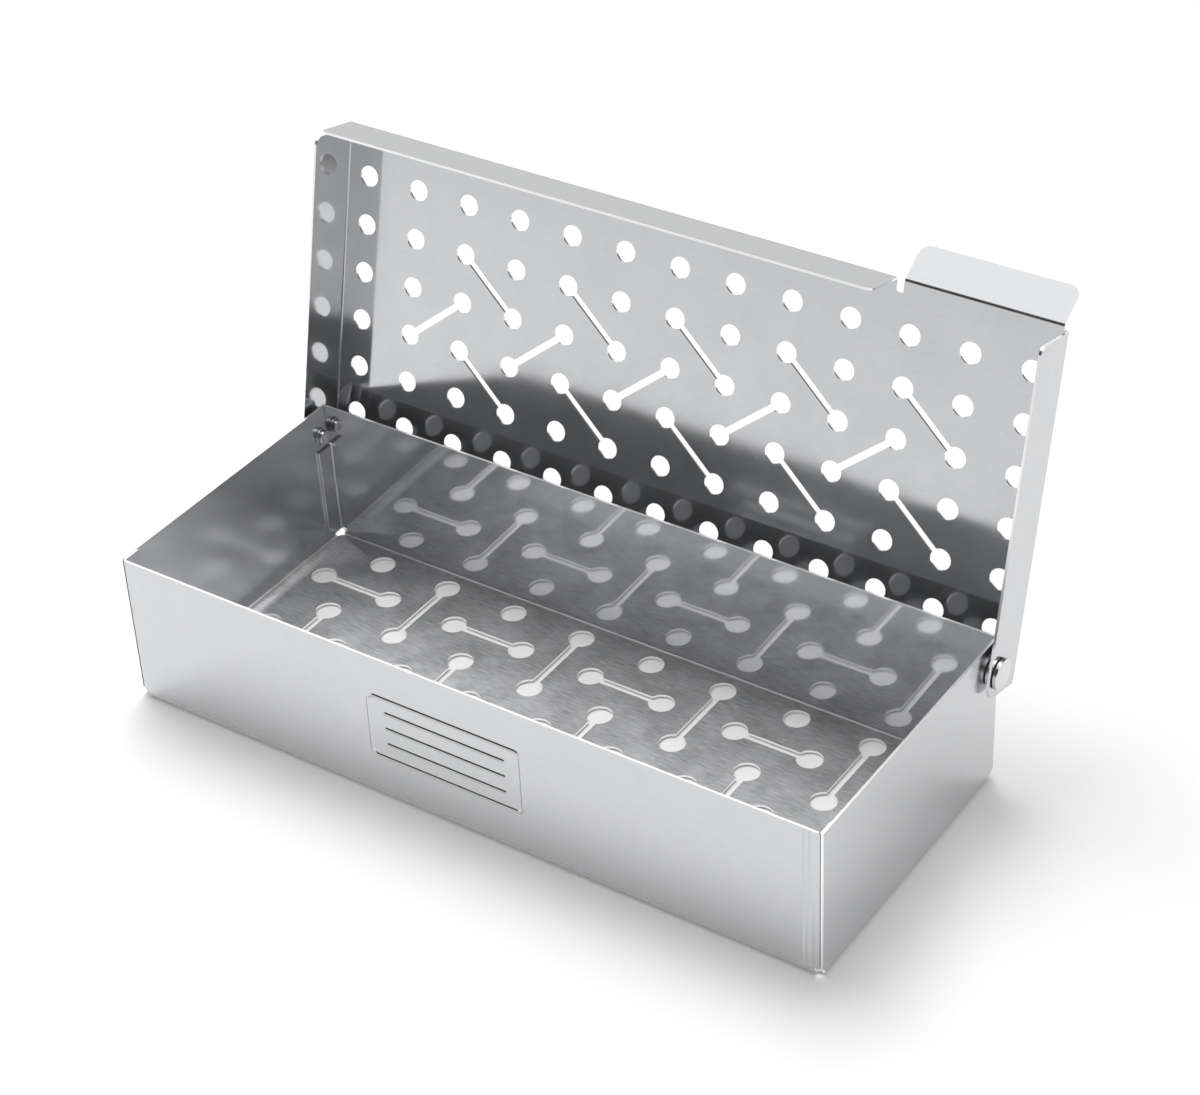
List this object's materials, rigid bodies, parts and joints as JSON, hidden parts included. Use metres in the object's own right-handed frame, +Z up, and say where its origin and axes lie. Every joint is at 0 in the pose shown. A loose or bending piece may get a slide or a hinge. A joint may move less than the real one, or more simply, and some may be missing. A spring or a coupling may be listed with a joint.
{
  "type": "grill smoker box",
  "caption": "Long low tray of folded stainless sheet with a perforated floor, and a perforated flanged lid with a lift tab that tilts up on two rivets.",
  "frame": {"origin": "middle of the tray's underside", "axes": "+X along the box to the right seen from the front, +Y to the back where the lid pivots, +Z up"},
  "size_m": [0.2582, 0.1445, 0.1491],
  "materials": {
    "sheet": "bright stainless sheet with a fine brushed grain",
    "rivet": "smooth bright stainless",
    "washer": "plain stainless, a little darker"
  },
  "bodies": {
    "tray": {"tray": "sheet", "rivet_left": "rivet", "rivet_right": "rivet", "spacer_left": "washer", "spacer_right": "washer", "burr_washer_left": "washer", "burr_washer_right": "washer"},
    "lid": {"lid": "sheet"}
  },
  "joints": [
    {"name": "lid_hinge", "type": "hinge", "parent": "tray", "child": "lid", "pos_m": [0, 0.04685, 0.0429], "axis": [1, 0, 0], "range_deg": [0, 103.9]}
  ]
}
